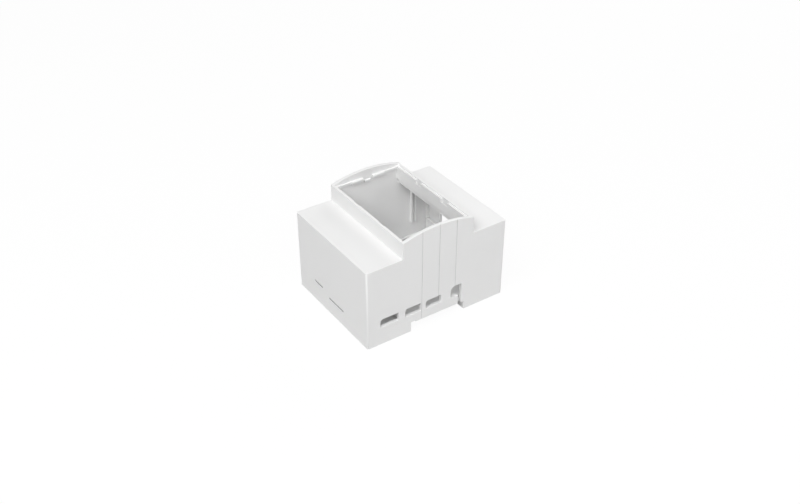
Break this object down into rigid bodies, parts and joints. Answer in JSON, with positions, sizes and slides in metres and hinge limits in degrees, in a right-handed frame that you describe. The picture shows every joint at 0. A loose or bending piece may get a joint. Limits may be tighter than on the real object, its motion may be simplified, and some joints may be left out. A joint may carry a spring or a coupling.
{
  "type": "din rail enclosure",
  "caption": "Stepped plastic enclosure for a 35 mm mounting rail, with an open front window, wire slots, a snap-in base and sliding rail latches.",
  "frame": {"origin": "middle of the footprint, at the height of the feet", "axes": "+X across the rail towards the latches, +Y along the rail, +Z away from the rail towards the window"},
  "size_m": [0.09, 0.071, 0.0622],
  "materials": {
    "housing_plastic": "satin moulded, very light grey",
    "base_plastic": "satin moulded, very light grey",
    "latch_plastic": "satin moulded, light grey"
  },
  "bodies": {
    "enclosure": {"upper_housing": "housing_plastic", "base": "base_plastic"},
    "latch_near": {"rail_latch_near": "latch_plastic"},
    "latch_far": {"rail_latch_far": "latch_plastic"}
  },
  "joints": [
    {"name": "latch_near_slide", "type": "slide", "parent": "enclosure", "child": "latch_near", "axis": [1, 0, 0], "range_m": [0, 0.0035]},
    {"name": "latch_far_slide", "type": "slide", "parent": "enclosure", "child": "latch_far", "axis": [1, 0, 0], "range_m": [0, 0.0035]}
  ]
}
